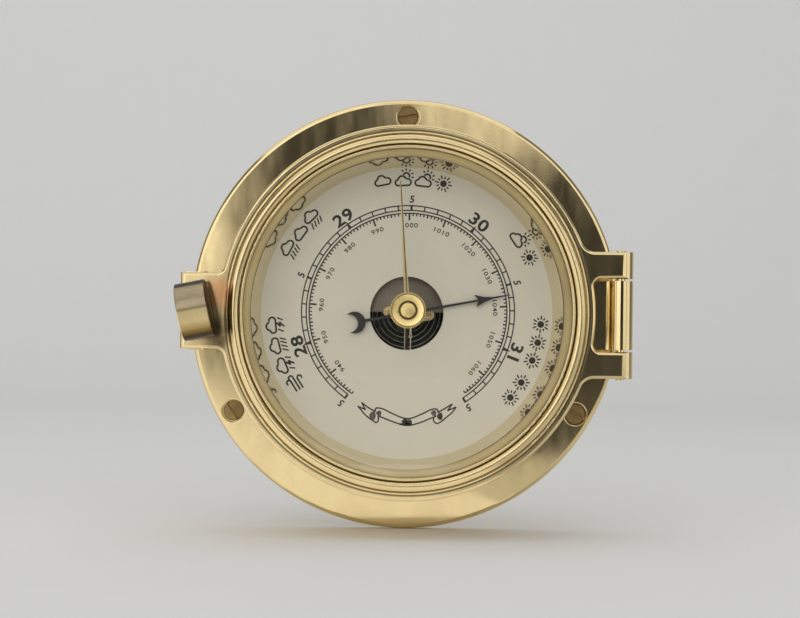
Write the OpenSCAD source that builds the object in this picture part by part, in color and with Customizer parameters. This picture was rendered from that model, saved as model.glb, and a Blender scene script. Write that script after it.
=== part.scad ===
/* [Dial] */
// Diameter of the dial that shows inside the reflector
dial_d = 99.2; // [92:0.2:130]
// Thickness of the dial
dial_t = 1; // [0.6:0.1:2]
// Diameter of the hole in the middle of the dial
dial_hole_d = 25; // [20:0.2:30]
// Depth from the dial's face to the front edge of the drum
well_depth = 11.2; // [8:0.2:18]
// How much wider the reflector is at its front than at the dial
reflector_flare = 2.5; // [1.5:0.1:4]
// Thickness of the reflector's sheet
reflector_t = 1; // [0.6:0.1:1.4]
// Width of the reflector's flat front lip
reflector_lip = 4.9; // [4:0.1:7]

/* [Case] */
// Wall of the drum
drum_wall = 3; // [2.4:0.1:5]
// Width of the flange outside the drum
flange_w = 15; // [14:0.5:30]
// Thickness of the flange
flange_t = 4; // [3.8:0.1:7]
// Radius of the flange's rounded front edge
flange_round = 1.6; // [0.8:0.1:2.4]
// Radius of the fillet between the flange and the drum
foot_fillet = 1.5; // [0.5:0.1:1.9]
// Width of the ledge inside the drum that carries the movement
ledge_w = 4; // [3.4:0.1:5]
// Thickness of that ledge
ledge_t = 2; // [1.6:0.1:3]
// Thickness of the back cover
cover_t = 1.2; // [0.8:0.1:1.5]
// How far the back cover lies inside the flange's back plane
cover_recess = 0.8; // [0.7:0.1:1.5]

/* [Mounting screws] */
// Number of mounting screws
screw_count = 3; // [3:1:4]
// Diameter of a mounting screw's head
screw_head_d = 7.2; // [6.5:0.1:8]
// Gap round a mounting screw's head
head_gap = 0.25; // [0.15:0.05:0.5]
// Diameter of a mounting screw's plain shank
screw_d = 4.2; // [3.4:0.1:5]
// Distance from the flange's edge to a screw's centre
screw_inset = 6; // [5.4:0.1:7]
// Length of a screw behind the flange
screw_reach = 14; // [10:1:30]

/* [Lid] */
// Thickness of the lid's plate
lid_t = 4.2; // [3.6:0.1:6]
// How far the lid's rim stands out past the drum
lid_overhang = 2.6; // [1.5:0.1:3.5]
// Thickness of the glass
glass_t = 2.5; // [2:0.1:4]
// How far the glass sits inside the lid's lip
glass_seat = 2.2; // [1.8:0.1:2.4]
// Radius of the lid's main round moulding
torus_r = 1.65; // [1.3:0.05:1.9]
// Radius of the small bead beside the main moulding
bead_r = 0.62; // [0.4:0.02:0.7]
// Radius of the bead along the sight edge
sight_bead_r = 0.55; // [0.3:0.05:0.6]
// How much wider the retaining ring is at the glass than at its back
retainer_flare = 2.1; // [1:0.1:2.3]
// Rounding along the edges of the lid's rim, arms and lug
rim_round = 1; // [0.4:0.1:1.3]
// How far the hole in the glass sits above the lid's centre
hole_rise = 0.8; // [0:0.1:2]

/* [Hinge] */
// Distance from the lid's rim to the hinge axis
hinge_reach = 8.7; // [7.5:0.1:12]
// Radius of the hinge knuckles
knuckle_r = 4.1; // [3.4:0.1:4.6]
// Length of the case's barrel between the lid's arms
barrel_len = 23; // [16:0.5:28]
// Width of each hinge arm on the lid
arm_w = 8.9; // [6:0.1:11]
// Gap between the barrel and each arm
arm_gap = 0.7; // [0.4:0.1:1.2]
// Diameter of the hinge pin
hinge_pin_d = 3; // [2:0.1:4]
// How far the pin shows outside each arm
pin_proud = 0.5; // [0.2:0.1:1]
// Fillet where the arms run into the rim
rim_fillet = 5; // [3:0.5:9]
// Fillet in the corners between the arms
arm_fillet = 2.6; // [1:0.1:4]

/* [Clasp] */
// Width of the lid's clasp lug
lug_w = 25.2; // [20:0.2:30]
// Distance from the lid's rim to the thumb screw's axis
clasp_reach = 7; // [6.4:0.1:10]
// How far the lug reaches past the thumb screw
lug_end = 5.7; // [5.6:0.1:8]
// Fillet where the lug runs into the rim
lug_fillet = 3; // [1:0.5:5]
// How much wider the case's lug is than the lid's
case_lug_extra = 0.8; // [0:0.1:2]
// Diameter of the thumb screw's disc
thumb_d = 18.8; // [15:0.2:19]
// Thickness of the thumb screw's disc
thumb_t = 10; // [6:0.2:11]
// Angle at which the disc stands on the lug
thumb_angle = 11.5; // [0:0.5:90]
// Distance from the disc's centre to the flat under it
thumb_flat = 7; // [6:0.1:8]
// Diameter of the thumb screw's shank
shank_d = 4.4; // [3.6:0.1:5]
// Diameter of the groove that the keeper pin runs in
groove_d = 2; // [1.6:0.1:2.4]
// Diameter of the keeper pin
keeper_d = 1.8; // [1.2:0.1:2]
// How far the thumb screw lifts when it is undone
thumb_lift = 5; // [4:0.1:6]
// Length of the screw's threaded end
thread_len = 2.4; // [2:0.1:3]
// Thickness of the washer under the disc
washer_t = 0.6; // [0.4:0.1:1]

/* [Movement] */
// Thickness of the movement plate
plate_t = 1.5; // [1.2:0.1:2]
// Clear height from the movement plate to the dial
movement_h = 13.5; // [13.5:0.1:18]
// Diameter of the vacuum capsule
capsule_d = 52; // [44:1:52]
// Number of corrugations on each side of the capsule
corrugations = 12; // [5:1:14]
// Depth of a corrugation from crest to middle
corrugation_h = 0.4; // [0.2:0.05:0.5]
// Width of the main leaf spring
spring_w = 26; // [18:0.5:28]
// Thickness of the main leaf spring
spring_t = 0.8; // [0.5:0.1:1]
// Width of the main lever
lever_w = 1.3; // [1.2:0.1:2.2]
// Length of the main lever from its pivot to the link rod
lever_len = 28; // [27:0.5:32]
// Length of the rocker's short arm
short_arm = 3; // [2.4:0.1:4]
// Radius of the chain drum on the hand's arbor
drum_r = 1; // [0.9:0.05:1.4]
// Turns of the hairspring
hair_turns = 5; // [3:1:6]
// Length of the brass bridge over the arbor
bridge_len = 17.4; // [16.6:0.2:20]
// Angle at which that bridge is turned
bridge_angle = -4; // [-20:1:20]

/* [Hands] */
// Reach of the indicating hand from its centre to its tip
hand_len = 35.6; // [25:0.1:45]
// Reach of the indicating hand's crescent tail
hand_tail = 20.2; // [12:0.1:25]
// Direction of the indicating hand, from the right, anticlockwise
hand_angle = 10.8; // [-57:0.2:233]
// Height of the indicating hand over the dial
hand_rise = 1.4; // [1:0.1:3]
// Reach of the brass set hand
set_hand_len = 43.3; // [30:0.1:50]
// Direction of the set hand, from the right, anticlockwise
set_hand_angle = 93.8; // [0:0.2:359]
// Diameter of the set hand's knob
knob_d = 12; // [9:0.1:16]
// Number of teeth in the knob's knurled edge
knob_teeth = 60; // [30:2:90]
// Height of the knob's rim over the glass
knob_rise = 4; // [2.5:0.1:8]

/* [Hidden] */

$fn = 96;

// Clearances: a running fit, a slip fit and the air between parts that never touch
run_gap = 0.05;
slip_gap = 0.1;
air = 0.3;
// How far a fillet's two ends dip into the faces that it joins
tuck = 0.05;

// Radii, all from the dial outward
dial_r = dial_d / 2;
reflector_front_r = dial_r + reflector_flare;
drum_in_r = reflector_front_r + reflector_lip;
drum_r_out = drum_in_r + drum_wall;
flange_r = drum_r_out + flange_w;
screw_circle_r = flange_r - screw_inset;
rim_r = drum_r_out + lid_overhang;
ledge_r = drum_in_r - ledge_w;
ledge_screw_r = drum_in_r - ledge_w / 2;
hinge_x = rim_r + hinge_reach;
clasp_x = -(rim_r + clasp_reach);
sight_r = reflector_front_r + 2.3;
glass_r = sight_r + glass_seat - slip_gap;
glass_bore_r = sight_r + glass_seat;

// Heights in front of the wall, all from the wall outward
ledge_h = cover_recess + cover_t;
plate_h = ledge_h + ledge_t;
plate_top = plate_h + plate_t;
dial_back = plate_top + movement_h;
dial_face = dial_back + dial_t;
drum_front = dial_face + well_depth;
lid_front = drum_front + lid_t;
glass_back = lid_front + 0.1;
glass_front = glass_back + glass_t;
torus_h = glass_front + 0.35;
torus_centre_r = glass_bore_r + 0.7;
hinge_h = lid_front - knuckle_r;

// Slots of the mounting screws, each one's direction from the right
slot_w = 1.2;
slot_depth = 1.4;
head_depth = 0.35;
head_edge = 0.3;
lip_round = 0.45;
head_foot = flange_t - head_depth - 2 * head_edge;
cone_foot = head_foot - (screw_head_d - screw_d) / 2;
slot_turns = [10, 125, 150, 60];

// Stack of the movement over its plate
capsule_h = plate_top + 0.5;
capsule_t = 5.2;
post_foot = capsule_h + capsule_t - 0.2;
spring_h = capsule_h + capsule_t + 1.3;
spring_top = spring_h + spring_t;
post_top = spring_top + 1.2;
top_plate_h = post_top + air;
top_plate_t = 0.8;
top_plate_edge = 0.4;
drum_h = top_plate_h + top_plate_t + 0.2;
chain_drum_h = 1.2;
hair_h = drum_h + chain_drum_h + 0.15;
bridge_h = hair_h + 0.45;
bridge_t = 1;
hand_h = dial_face + hand_rise;

// Plan of the movement, measured up and across from the arbor
post_r = 1.6;
post_pin_r = 0.45;
stud_r = 2.4;
nut_t = 1.7;
spring_root = 33;
spring_end = 41;
adjuster_y = (spring_root + spring_end) / 2;
lever_pivot_y = -5;
lever_tip_y = lever_pivot_y - lever_len;
rocker_y = lever_tip_y + short_arm;
rocker_h = spring_top - 2.6;
rocker_r = 0.8;
rocker_half = 10.5;
post_x = 9;
arbor_r = 0.8;
chain_x = drum_r + 0.3 + run_gap / 2;
chain_h = drum_h + chain_drum_h / 2;
pillar_r = 2;
pillar_gap = 2.3;
pillar_ring_r = capsule_d / 2 + pillar_gap + pillar_r;
pillar_turns = [8, 50, 130, 172];
top_plate_r = pillar_ring_r + pillar_r + 0.7;
small_screw_r = 1;
small_head_r = 1.8;
small_head_t = 1.1;
tapped_depth = 2;
screw_bite = 1.6;
spring_screw_x = spring_w * 0.31;
rocker_post_w = 2.4;
rocker_post_l = 4;
lever_t = 0.8;
lever_pin_r = 0.3;
link_r = 0.35;
cover_screw_start = 30;
hand_boss_r = 2;
set_arbor_r = 1.4;
set_arbor_top = glass_front + knob_rise - 0.9;
hand_boss_t = 1.3;
bridge_end_r = 1.8;
bridge_mid = 3.4;
bridge_hole_x = bridge_len / 2 - bridge_end_r;
bridge_shift = 0.7;
dial_post_r = 46;

// Clasp and thumb screw heights
lug_hole_r = shank_d / 2 + 0.2;
lug_round = 1.5;
washer_r = 4.1;
seat_h = lid_front + washer_t;
keeper_h = lid_front - lid_t / 2;
keeper_x = clasp_x + groove_d / 2 + keeper_d / 2 + run_gap;
groove_top = keeper_h + keeper_d / 2 + 0.4;
groove_foot = keeper_h - keeper_d / 2 - 0.1 - thumb_lift;
thread_foot = groove_foot - thread_len;
thread_r = shank_d / 2 - 0.4;
tap_r = shank_d / 2 + 0.1;
case_lug_top = drum_front - air;
disc_h = seat_h + 0.5 + thumb_flat;
brass = "#c9a55a";
steel = "#8d8a86";
black = "#3a3535";

// Turns a shape drawn with x to the right, y up and z towards the viewer into the wall frame
module face_up() rotate([90, 0, 0]) children();

// Extrudes a section drawn as [across, in front of the wall] up and down the object
module across(length, at = 0)
    translate([0, 0, at]) linear_extrude(length, center = true) mirror([0, 1]) children();

// Extrudes a section drawn as [up, in front of the wall] from x0 to x1, face up
module along(x0, x1)
    translate([x0, 0, 0]) rotate([90, 0, 90]) linear_extrude(x1 - x0) children();

// Spins a section drawn as [radius, in front of the wall] about the barometer's axis
module spin() face_up() rotate_extrude() children();

module at_height(h) translate([0, 0, h]) children();

// Moves a piece from the barometer's axis to the axis of the hole in the glass
module on_hole() translate([0, 0, hole_rise]) children();

module ring_of(count, r, start = 90)
    for (i = [0:count - 1])
        rotate(start + i * 360 / count) translate([r, 0, 0]) children();

function arc(c, r, a0, a1, n = 8) =
    [for (i = [0:n]) let (a = a0 + (a1 - a0) * i / n) c + r * [cos(a), sin(a)]];

// Small pan-head screw that stands on height h, with its slot
module pan_screw(h, head_t, depth, head_r = small_head_r, r = small_screw_r) {
    difference() {
        at_height(h) rotate_extrude()
            polygon(concat([[0, -depth], [r, -depth], [r, 0], [head_r, 0]],
                arc([head_r - 0.4, head_t - 0.4], 0.4, 0, 90, 4), [[0, head_t]]));
        at_height(h + head_t * 0.55) translate([-head_r - 1, -0.25, 0]) cube([2 * head_r + 2, 0.5, head_t]);
    }
}

// Square from x0 to x1 and y0 to y1, with its two corners at y1 rounded by r
module soft_top(x0, x1, y0, y1, r) {
    translate([x0, y0]) square([x1 - x0, y1 - r - y0]);
    translate([x0 + r, y0]) square([x1 - x0 - 2 * r, y1 - y0]);
    for (x = [x0 + r, x1 - r]) translate([x, y1 - r]) circle(r);
}

module case_section() {
    edge = flange_r - flange_round;
    polygon(concat(
        [[drum_in_r, 0], [flange_r, 0]],
        arc([edge, flange_t - flange_round], flange_round, 0, 90),
        arc([drum_r_out + foot_fillet, flange_t + foot_fillet], foot_fillet, 270, 180),
        [[drum_r_out, drum_front - 0.4], [drum_r_out - 0.4, drum_front], [drum_in_r, drum_front],
         [drum_in_r, plate_h], [ledge_r, plate_h], [ledge_r, ledge_h], [drum_in_r, ledge_h]]
    ));
}

// Seat of a mounting screw, with a gap round the head and a rounded lip
module countersink() rotate_extrude() {
    r = screw_head_d / 2 + head_gap;
    polygon([
        [0, -1], [screw_d / 2, -1], [screw_d / 2, cone_foot], [screw_head_d / 2, head_foot],
        [r, head_foot], [r, flange_t + 1], [0, flange_t + 1]
    ]);
    difference() {
        translate([0, flange_t - lip_round]) square([r + lip_round, 2 * lip_round]);
        translate([r + lip_round, flange_t - lip_round]) circle(lip_round);
    }
}

module case_body() color(brass) difference() {
    union() {
        spin() case_section();
        hinge_lug();
        clasp_lug();
    }
    face_up() ring_of(screw_count, screw_circle_r) countersink();
    face_up() ring_of(3, ledge_screw_r)
        at_height(plate_h - 1.4) cylinder(h = 2, r = small_screw_r);
    face_up() ring_of(3, ledge_screw_r, cover_screw_start)
        at_height(ledge_h - 0.6) cylinder(h = 1.8, r = small_screw_r);
    translate([hinge_x, -hinge_h, 0]) cylinder(h = barrel_len + 2, r = hinge_pin_d / 2, center = true);
    face_up() translate([clasp_x, 0, 0]) {
        at_height(case_lug_top - 11) cylinder(h = 12, r = tap_r);
        at_height(case_lug_top - 1) cylinder(h = 2, r1 = tap_r, r2 = tap_r + 2);
    }
}

// Lug on the drum that carries the hinge barrel between the lid's arms
module hinge_lug() {
    root = drum_in_r + 0.2;
    across(barrel_len) {
        polygon([
            [root, hinge_h - 18], [drum_r_out + 2, hinge_h - 17], [hinge_x + knuckle_r * 0.8, hinge_h - 2.4],
            [hinge_x, hinge_h], [hinge_x - knuckle_r * 0.7, hinge_h - 0.5],
            [hinge_x - knuckle_r - 0.6, case_lug_top - 1], [root, case_lug_top - 1]
        ]);
        translate([hinge_x, hinge_h]) circle(knuckle_r);
    }
}

// Lug on the drum that the thumb screw is screwed into
module clasp_lug() {
    root = -drum_in_r - 0.2;
    tip = clasp_x - lug_end + 0.8;
    across(lug_w + case_lug_extra)
        polygon(concat(
            [[root, case_lug_top - 21], [root - 3, case_lug_top - 20], [tip + 2, case_lug_top - 11]],
            arc([tip + 1, case_lug_top - 10], 1, 270, 180, 4),
            arc([tip + 1, case_lug_top - 1], 1, 180, 90, 4),
            [[root, case_lug_top]]
        ));
}

module back_cover() color(brass) face_up() difference() {
    at_height(cover_recess) cylinder(h = cover_t, r = drum_in_r - slip_gap);
    translate([0, adjuster_y, 0]) cylinder(h = plate_h, r = 3);
    ring_of(3, ledge_screw_r, cover_screw_start) cylinder(h = plate_h, r = small_screw_r + slip_gap);
}

module cover_screws() color(brass) face_up() ring_of(3, ledge_screw_r, cover_screw_start)
    at_height(cover_recess) mirror([0, 0, 1]) pan_screw(0, cover_recess - 0.1, cover_t + 0.5);

// Countersunk screws, each with its slot turned as it happened to be driven home
module mounting_screws() color("#87693a") face_up() for (i = [0:screw_count - 1]) {
    r = screw_head_d / 2;
    thread_end_r = screw_d / 2 - 0.1;
    around = 90 + i * 360 / screw_count;
    rotate(around) translate([screw_circle_r, 0, 0]) difference() {
        rotate_extrude() polygon([
            [0, -screw_reach], [0.4, -screw_reach], [thread_end_r, -screw_reach + 4],
            [thread_end_r, 0], [screw_d / 2, 0], [screw_d / 2, cone_foot], [r, head_foot],
            [r, flange_t - head_depth - head_edge], [r - head_edge, flange_t - head_depth],
            [0, flange_t - head_depth]
        ]);
        at_height(flange_t - slot_depth) rotate(slot_turns[i] - around)
            translate([-screw_head_d, -slot_w / 2, 0]) cube([2 * screw_head_d, slot_w, 2 * slot_depth]);
    }
}

module hinge_pin() color(brass) translate([hinge_x, -hinge_h, 0])
    cylinder(h = 2 * (barrel_len / 2 + arm_gap + arm_w + pin_proud), r = hinge_pin_d / 2, center = true);

module reflector_ring() color("#d8bd78") spin() {
    top = drum_front - 0.2;
    polygon([
        [dial_r, dial_face], [reflector_front_r, top], [drum_in_r - slip_gap, top],
        [drum_in_r - slip_gap, top - reflector_t], [reflector_front_r + reflector_t - 0.1, top - reflector_t],
        [dial_r + reflector_t + 0.1, dial_face]
    ]);
}

module dial() color("#d9d2bd") face_up() difference() {
    at_height(dial_back) cylinder(h = dial_t, r = drum_in_r - slip_gap);
    at_height(dial_back - 1) cylinder(h = dial_t + 2, r = dial_hole_d / 2);
}

module dial_posts() color(brass) face_up() ring_of(4, dial_post_r, 45)
    at_height(plate_top) cylinder(h = movement_h, r = 2.5);

module movement_plate() color(brass) face_up() difference() {
    at_height(plate_h) cylinder(h = plate_t, r = drum_in_r - slip_gap);
    cylinder(h = plate_top + 1, r = stud_r + slip_gap);
    translate([0, adjuster_y, 0]) cylinder(h = plate_top + 1, r = 1.5 + run_gap);
    ring_of(3, ledge_screw_r) cylinder(h = plate_top + 1, r = small_screw_r + slip_gap);
}

module plate_screws() color(steel) face_up() ring_of(3, ledge_screw_r)
    pan_screw(plate_top, small_head_t, plate_t + 1.2);

// Height of a corrugated face at radius r, above or below its middle
function wave(r, r0, r1) = corrugation_h * cos(360 * corrugations * (r - r0) / (r1 - r0));

// Two corrugated discs joined at the rim, on a turned stud
module capsule() color(black) spin() {
    inner = 5;
    outer = capsule_d / 2 - 1;
    steps = corrugations * 5;
    low = capsule_h + 0.7;
    high = post_foot - 0.4;
    polygon(concat(
        [[0, plate_h - nut_t], [stud_r, plate_h - nut_t], [stud_r, plate_top], [inner, plate_top],
         [inner, capsule_h]],
        [for (i = [1:steps]) let (r = inner + (outer - inner) * i / steps)
            [r, low - wave(r, inner, outer)]],
        [[capsule_d / 2, capsule_h + capsule_t / 2 - 0.4], [capsule_d / 2, capsule_h + capsule_t / 2 + 0.4]],
        [for (i = [steps:-1:1]) let (r = inner + (outer - inner) * i / steps)
            [r, high + wave(r, inner, outer)]],
        [[inner, post_foot], [0, post_foot]]
    ));
}

// Post on the capsule's centre that the leaf spring pulls on
module capsule_post() color(steel) face_up() difference() {
    at_height(post_foot) rotate_extrude() polygon([
        [0, 0], [3, 0], [3, 0.6], [post_r, 1], [post_r, post_top - post_foot], [0, post_top - post_foot]
    ]);
    at_height(spring_top + post_pin_r) rotate([0, 90, 0]) cylinder(h = 10, r = post_pin_r, center = true);
}

module capsule_nut() color(steel) face_up() difference() {
    at_height(plate_h - nut_t) cylinder(h = nut_t, r = 4.6, $fn = 6);
    at_height(plate_h - nut_t - 1) cylinder(h = nut_t + 2, r = stud_r);
}

module post_pin() color(steel) face_up() at_height(spring_top + post_pin_r)
    rotate([0, 90, 0]) cylinder(h = 6, r = post_pin_r, center = true);

module spring_bridge() color(black) face_up() difference() {
    translate([-spring_w / 2 - 1, spring_root, plate_top])
        cube([spring_w + 2, spring_end - spring_root, spring_h - plate_top]);
    at_height(plate_top - 1) translate([0, adjuster_y, 0]) cylinder(h = 5, r = 1.5 + run_gap);
    for (x = [-1, 1] * spring_screw_x) translate([x, adjuster_y, spring_h - tapped_depth])
        cylinder(h = tapped_depth + 1, r = small_screw_r);
}

module main_spring() color("#6f675c") face_up() {
    difference() {
        at_height(spring_h) linear_extrude(spring_t) polygon([
            [-spring_w / 2, spring_end], [spring_w / 2, spring_end], [spring_w / 2, 10],
            [4, -3], [2.6, lever_pivot_y - 1.5], [-2.6, lever_pivot_y - 1.5], [-4, -3],
            [-spring_w / 2, 10]
        ]);
        at_height(spring_h - 1) cylinder(h = 4, r = post_r + air);
        for (x = [-1, 1] * spring_screw_x) translate([x, adjuster_y, spring_h - 1])
            cylinder(h = 4, r = small_screw_r + slip_gap);
    }
    for (x = [-1, 1]) difference() {
        translate([x * (lever_w / 2 + 0.6) - 0.4, lever_pivot_y - 0.8, spring_top - 0.2])
            cube([0.8, 1.6, 1.5]);
        translate([0, lever_pivot_y, spring_top + 0.7]) rotate([0, 90, 0])
            cylinder(h = 10, r = lever_pin_r + run_gap, center = true);
    }
}

module spring_screws() color(steel) face_up() for (x = [-1, 1] * spring_screw_x)
    translate([x, adjuster_y, 0]) pan_screw(spring_top, small_head_t, spring_t + screw_bite);

module adjusting_screw() color(brass) face_up() translate([0, adjuster_y, 0]) difference() {
    union() {
        at_height(plate_h - air - 1.3) cylinder(h = 1.3, r = 2.6);
        at_height(plate_h - air - 0.2) cylinder(h = 4.6, r = 1.5);
    }
    at_height(plate_h - air - 1.5) translate([-3, -0.35, 0]) cube([6, 0.7, 0.8]);
}

module main_lever() color(steel) face_up() difference() {
    union() {
        translate([-lever_w / 2, lever_tip_y - 0.8, spring_top + air])
            cube([lever_w, lever_len + 1.4, lever_t]);
        translate([0, lever_pivot_y, spring_top + 0.7]) rotate([0, 90, 0])
            cylinder(h = lever_w + 2, r = lever_pin_r, center = true);
    }
    translate([0, lever_tip_y, 0]) cylinder(h = drum_front, r = link_r);
}

module link_rod() color(steel) face_up() translate([0, lever_tip_y, 0]) {
    top = spring_top + air + lever_t;
    at_height(rocker_h + 0.7 + air) cylinder(h = top - rocker_h - 0.7 - air, r = link_r);
    at_height(top) cylinder(h = 0.3, r = 0.6);
}

module rocker_posts() color(brass) face_up() for (x = [-post_x, post_x]) difference() {
    translate([x - rocker_post_w / 2, rocker_y - rocker_post_l / 2, plate_top])
        cube([rocker_post_w, rocker_post_l, rocker_h + rocker_post_l / 2 - plate_top]);
    translate([x, rocker_y, rocker_h]) rotate([0, 90, 0])
        cylinder(h = 6, r = rocker_r + run_gap, center = true);
}

module rocker_shaft() color(steel) face_up() translate([0, rocker_y, rocker_h]) {
    rotate([0, 90, 0]) cylinder(h = 2 * rocker_half, r = rocker_r, center = true);
    rotate([0, 90, 0]) cylinder(h = 5, r = 1.3, center = true);
    translate([-0.6, -short_arm - 0.7, -0.5]) cube([1.2, short_arm + 0.7, 1.2]);
    translate([chain_x - 0.3, -0.5, 0]) cube([0.6, 1, chain_h - rocker_h + 0.5]);
}

// One flat link of the chain with its rivet
module chain_link(pitch) {
    linear_extrude(0.3) {
        circle(0.28, $fn = 24);
        translate([0, -pitch]) circle(0.28, $fn = 24);
        translate([-0.2, -pitch]) square([0.4, pitch]);
    }
}

module chain() color("#b09a6a") face_up() translate([chain_x, 0, chain_h]) {
    links = 24;
    pitch = (-rocker_y - 0.5 - 0.28) / links;
    for (i = [0:links - 1])
        translate([0, -i * pitch, i % 2 == 0 ? -0.28 : -0.02]) chain_link(pitch);
}

// One of something at each of the top plate's pillars
module pillars()
    for (a = pillar_turns) rotate(a) translate([pillar_ring_r, 0, 0]) children();

// Half disc over the capsule, with a tongue under the arbor's bridge
module top_plate() color("#6b6155") face_up() difference() {
    at_height(top_plate_h) {
        intersection() {
            cylinder(h = top_plate_t, r = top_plate_r);
            translate([-top_plate_r, top_plate_edge, -1]) cube([2 * top_plate_r, top_plate_r, top_plate_t + 2]);
        }
        rotate(bridge_angle) linear_extrude(top_plate_t) lozenge();
    }
    at_height(top_plate_h - 1) cylinder(h = 3, r = 0.6 + run_gap);
    pillars() at_height(top_plate_h - 1) cylinder(h = 3, r = small_screw_r + slip_gap);
    bridge_ends() at_height(top_plate_h - 1) cylinder(h = 3, r = 0.7);
}

module top_plate_pillars() color(brass) face_up() pillars() difference() {
    at_height(plate_top) cylinder(h = top_plate_h - plate_top, r = pillar_r);
    at_height(top_plate_h - tapped_depth) cylinder(h = tapped_depth + 1, r = small_screw_r);
}

module top_plate_screws() color(steel) face_up() pillars()
    pan_screw(top_plate_h + top_plate_t, small_head_t, top_plate_t + screw_bite);

module hand_arbor() color(steel) face_up() rotate_extrude() polygon([
    [0, top_plate_h], [0.6, top_plate_h], [0.6, drum_h], [drum_r, drum_h],
    [drum_r, drum_h + chain_drum_h], [arbor_r, drum_h + chain_drum_h],
    [arbor_r, hand_h + 1], [0, hand_h + 1]
]);

// One of something at each end of the arbor's bridge
module bridge_ends() rotate(bridge_angle)
    for (x = [-bridge_hole_x, bridge_hole_x]) translate([x + bridge_shift, 0, 0]) children();

// Bar that is widest near the arbor and runs tangent into its two round ends
module lozenge() {
    x = bridge_hole_x;
    turn = 180 - atan2(bridge_mid, x) - acos(bridge_end_r / norm([x, bridge_mid]));
    translate([bridge_shift, 0]) polygon(concat(
        [[0, bridge_mid]], arc([x, 0], bridge_end_r, turn, -turn, 16),
        [[0, -bridge_mid]], arc([-x, 0], bridge_end_r, 180 + turn, 180 - turn, 16)
    ));
}

module arbor_bridge() color(brass) face_up() difference() {
    rotate(bridge_angle) at_height(bridge_h) linear_extrude(bridge_t) lozenge();
    at_height(bridge_h - 1) cylinder(h = 3, r = arbor_r + run_gap);
    bridge_ends() at_height(bridge_h - 1) cylinder(h = 3, r = 0.7 + slip_gap);
}

module bridge_posts() color(brass) face_up() bridge_ends() difference() {
    at_height(top_plate_h + top_plate_t) cylinder(h = bridge_h - top_plate_h - top_plate_t, r = 1.5);
    at_height(top_plate_h) cylinder(h = 6, r = 0.7);
}

module bridge_screws() color("#a58f55") face_up() bridge_ends()
    pan_screw(bridge_h + bridge_t, 0.5, bridge_h + bridge_t - top_plate_h, 1.3, 0.7);

// Flat spiral from radius r0 to r1
module spiral(r0, r1, turns, width) {
    n = turns * 24;
    path = [for (i = [0:n]) let (a = 360 * turns * i / n, r = r0 + (r1 - r0) * i / n) [r, a]];
    polygon(concat(
        [for (p = path) p[0] * [cos(p[1]), sin(p[1])]],
        [for (i = [n:-1:0]) (path[i][0] + width) * [cos(path[i][1]), sin(path[i][1])]]
    ));
}

module hairspring() color("#7d7f88") face_up() {
    at_height(hair_h) linear_extrude(0.3) spiral(arbor_r + air, 4, hair_turns, 0.16);
    at_height(hair_h) translate([4.1, 0, 0]) cylinder(h = bridge_h - hair_h, r = 0.25);
}

module indicating_hand() color(black) face_up() rotate(hand_angle) {
    arrow = hand_len - 6;
    difference() {
        union() {
            at_height(hand_h - 0.2) linear_extrude(0.4) {
                polygon([
                    [0, 0.5], [arrow - 5, 0.36], [arrow - 6, 2.15], [arrow - 3, 0.95], [arrow, 0.35], [hand_len, 0.16],
                    [hand_len, -0.16], [arrow, -0.35], [arrow - 3, -0.95], [arrow - 6, -2.15], [arrow - 5, -0.36],
                    [0, -0.5]
                ]);
                translate([-hand_tail + 4.5, -0.5]) square([hand_tail - 4.5, 1]);
                difference() {
                    translate([-hand_tail + 2.2, 0]) circle(3.7);
                    translate([-hand_tail + 0.35, 0]) circle(3);
                }
            }
            at_height(hand_h - 0.5) cylinder(h = hand_boss_t, r = hand_boss_r);
        }
        at_height(hand_h - 2) cylinder(h = 4, r = arbor_r);
    }
}

// Rim, mouldings and the lip over the glass, with the glass's seat cut out behind the lip
module lid_section() difference() {
    under = 0.1;
    union() {
        polygon(concat(
            [[sight_r + 0.05, drum_front], [rim_r, drum_front]],
            arc([rim_r - rim_round, lid_front - rim_round], rim_round, 0, 90, 6),
            [[torus_centre_r + torus_r - under, lid_front], [torus_centre_r + torus_r - under, torus_h],
             [sight_r + 0.05, torus_h + 0.4]]
        ));
        translate([torus_centre_r, torus_h]) circle(torus_r);
        translate([torus_centre_r + torus_r + bead_r + 0.2, lid_front + 0.1]) circle(bead_r);
        translate([sight_r + sight_bead_r, torus_h + 0.5]) circle(sight_bead_r);
    }
    translate([sight_r - 1, drum_front - 1])
        square([glass_bore_r - sight_r + 1, glass_front - drum_front + 1]);
}

// Cutter for a fillet of radius f round the origin, which also rounds the fillet's front edge
module fillet_cut(f) rotate_extrude() {
    translate([0, drum_front - 1]) square([f, lid_t + 2]);
    difference() {
        translate([0, lid_front - rim_round]) square([f + rim_round, 2 * rim_round]);
        translate([f + rim_round, lid_front - rim_round]) circle(rim_round);
    }
}

// Web between the lid's rim and a straight edge at height y, filleted on the side that s gives
module rim_web(y, f, s) {
    cy = y + s * (f - tuck);
    cx = sqrt(pow(rim_r + f - tuck, 2) - cy * cy);
    inner = [cx, cy] * (rim_r - 2 * rim_round) / norm([cx, cy]);
    difference() {
        at_height(drum_front) linear_extrude(lid_t)
            polygon([[cx, y - s * rim_round], [cx, cy], inner, [inner[0], y - s * rim_round]]);
        translate([cx, cy, 0]) fillet_cut(f);
    }
}

// Hinge arm: flush with the lid's plate, soft along both edges and round over the pin
module hinge_arm(at) {
    root = sqrt(pow(rim_r - rim_round - 0.3, 2) - pow(barrel_len / 2 + arm_gap + arm_w, 2));
    intersection() {
        across(arm_w + 2, at) {
            translate([root, drum_front]) square([hinge_x - root, lid_t]);
            translate([hinge_x, hinge_h]) circle(knuckle_r);
        }
        face_up() along(root - 1, hinge_x + knuckle_r + 1)
            soft_top(at - arm_w / 2, at + arm_w / 2, hinge_h - knuckle_r - 1, lid_front, rim_round);
    }
}

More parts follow.
